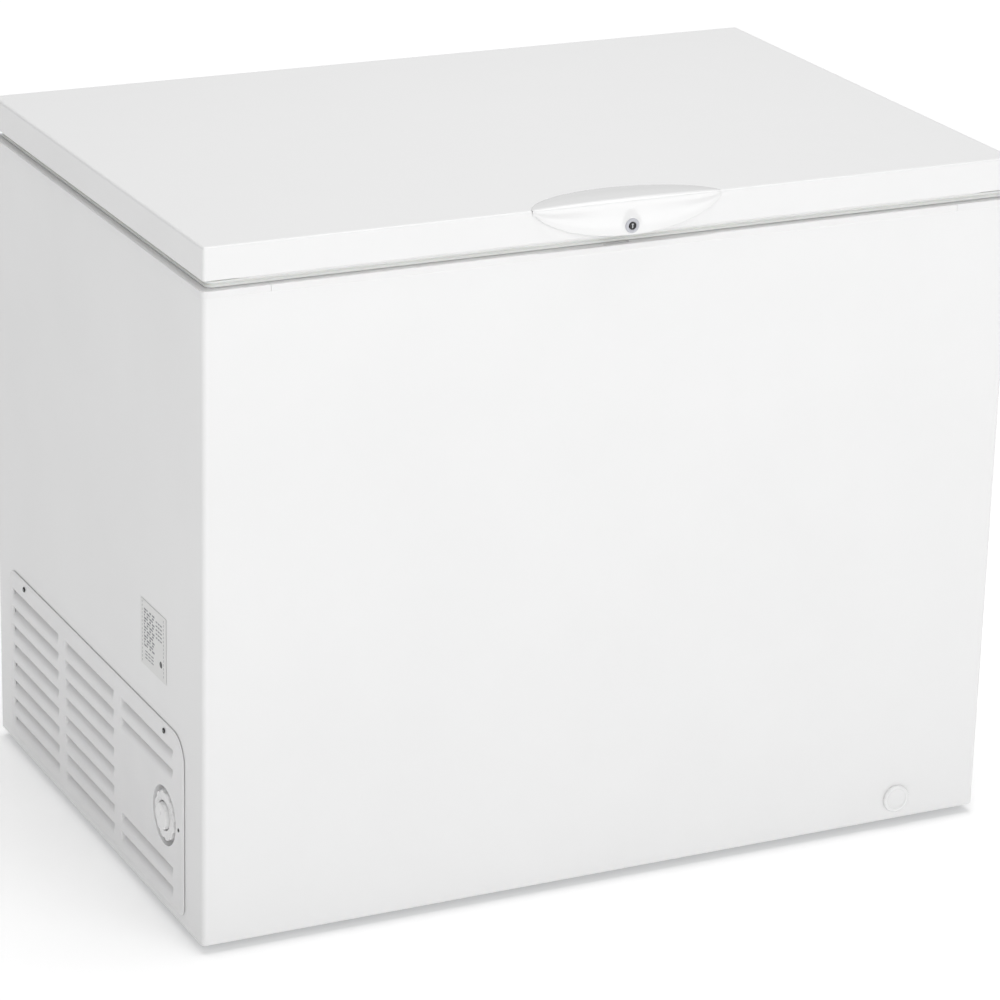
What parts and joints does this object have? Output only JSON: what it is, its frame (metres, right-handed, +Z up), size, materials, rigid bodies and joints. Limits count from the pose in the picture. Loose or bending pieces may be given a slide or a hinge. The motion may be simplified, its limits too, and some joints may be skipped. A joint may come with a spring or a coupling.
{
  "type": "chest freezer",
  "caption": "White chest freezer: insulated cabinet with a hinged lid, front handle with key lock, low vent grille with thermostat knob, drain and hanging basket.",
  "frame": {"origin": "middle of the overall footprint, on the floor", "axes": "+X to the right along the cabinet's length, +Y to the back, +Z up"},
  "size_m": [1.095, 0.7634, 0.8925],
  "materials": {
    "enamel": "smooth white baked enamel on steel sheet",
    "white_plastic": "glossy moulded",
    "grille_plastic": "satin moulded",
    "grey_plastic": "satin moulded",
    "dark_plastic": "satin moulded",
    "vinyl": "soft white vinyl",
    "foam": "cut polyurethane foam",
    "liner": "embossed white enamel",
    "zinc": "zinc plated",
    "black_steel": "black paint",
    "copper": "drawn copper tube",
    "black_rubber": "matt",
    "label": "printed film, left blank"
  },
  "bodies": {
    "cabinet": {"outer_wrapper": "enamel", "back_panel": "enamel", "base_pan": "zinc", "cord_inlet_bushing": "dark_plastic", "foot_front_left": "dark_plastic", "foot_front_right": "dark_plastic", "foot_back_left": "dark_plastic", "foot_back_right": "dark_plastic", "insulation_foam": "foam", "inner_liner": "liner", "evaporator_coil": "copper", "condenser_coil": "copper", "rim_front": "white_plastic", "rim_back": "white_plastic", "rim_left": "white_plastic", "rim_right": "white_plastic", "rim_corner_front_left": "white_plastic", "rim_corner_front_right": "white_plastic", "rim_corner_back_left": "white_plastic", "rim_corner_back_right": "white_plastic", "hinge_base_left": "zinc", "hinge_base_right": "zinc", "hinge_pin_left": "zinc", "hinge_pin_right": "zinc", "hinge_spring_left": "zinc", "hinge_spring_right": "zinc", "vent_grille": "grille_plastic", "grille_screw_front": "black_steel", "grille_screw_rear": "black_steel", "power_light": "dark_plastic", "thermostat_body": "zinc", "rating_label": "label", "drain_tube": "white_plastic", "compressor_plate": "zinc", "grommet_front_left": "black_rubber", "grommet_front_right": "black_rubber", "grommet_rear_left": "black_rubber", "grommet_rear_right": "black_rubber", "compressor": "black_steel", "relay_cover": "dark_plastic", "compartment_bulkhead": "zinc", "line_seal": "black_rubber", "suction_line": "copper", "discharge_line": "copper", "filter_drier": "copper"},
    "lid": {"lid_skin": "enamel", "lid_foam": "foam", "lid_liner": "white_plastic", "lid_gasket": "vinyl", "lid_handle": "white_plastic", "lock_bezel": "grey_plastic", "hinge_arm_left": "zinc", "hinge_arm_right": "zinc"},
    "lock": {"lock_barrel": "dark_plastic", "lock_cam": "zinc"},
    "knob": {"thermostat_knob": "white_plastic"},
    "front_plug": {"drain_plug": "white_plastic"},
    "inner_plug": {"inner_drain_plug": "black_rubber"},
    "basket": {"wire_basket": "enamel"}
  },
  "joints": [
    {"name": "lid_hinge", "type": "hinge", "parent": "cabinet", "child": "lid", "pos_m": [0.0027, 0.37225, 0.853], "axis": [-1, 0, 0], "range_deg": [0, 85]},
    {"name": "lock_turn", "type": "hinge", "parent": "lid", "child": "lock", "pos_m": [0.0027, -0.36725, 0.862], "axis": [0, -1, 0], "range_deg": [0, 90]},
    {"name": "knob_turn", "type": "hinge", "parent": "cabinet", "child": "knob", "pos_m": [-0.5305, -0.24775, 0.135], "axis": [-1, 0, 0], "range_deg": [-135, 135]},
    {"name": "drain_plug_pull", "type": "slide", "parent": "cabinet", "child": "front_plug", "axis": [0, -1, 0], "range_m": [0, 0.03]},
    {"name": "inner_plug_lift", "type": "slide", "parent": "cabinet", "child": "inner_plug", "axis": [0, 0, 1], "range_m": [0, 0.03]},
    {"name": "basket_slide", "type": "slide", "parent": "cabinet", "child": "basket", "axis": [1, 0, 0], "range_m": [0, 0.7]}
  ]
}
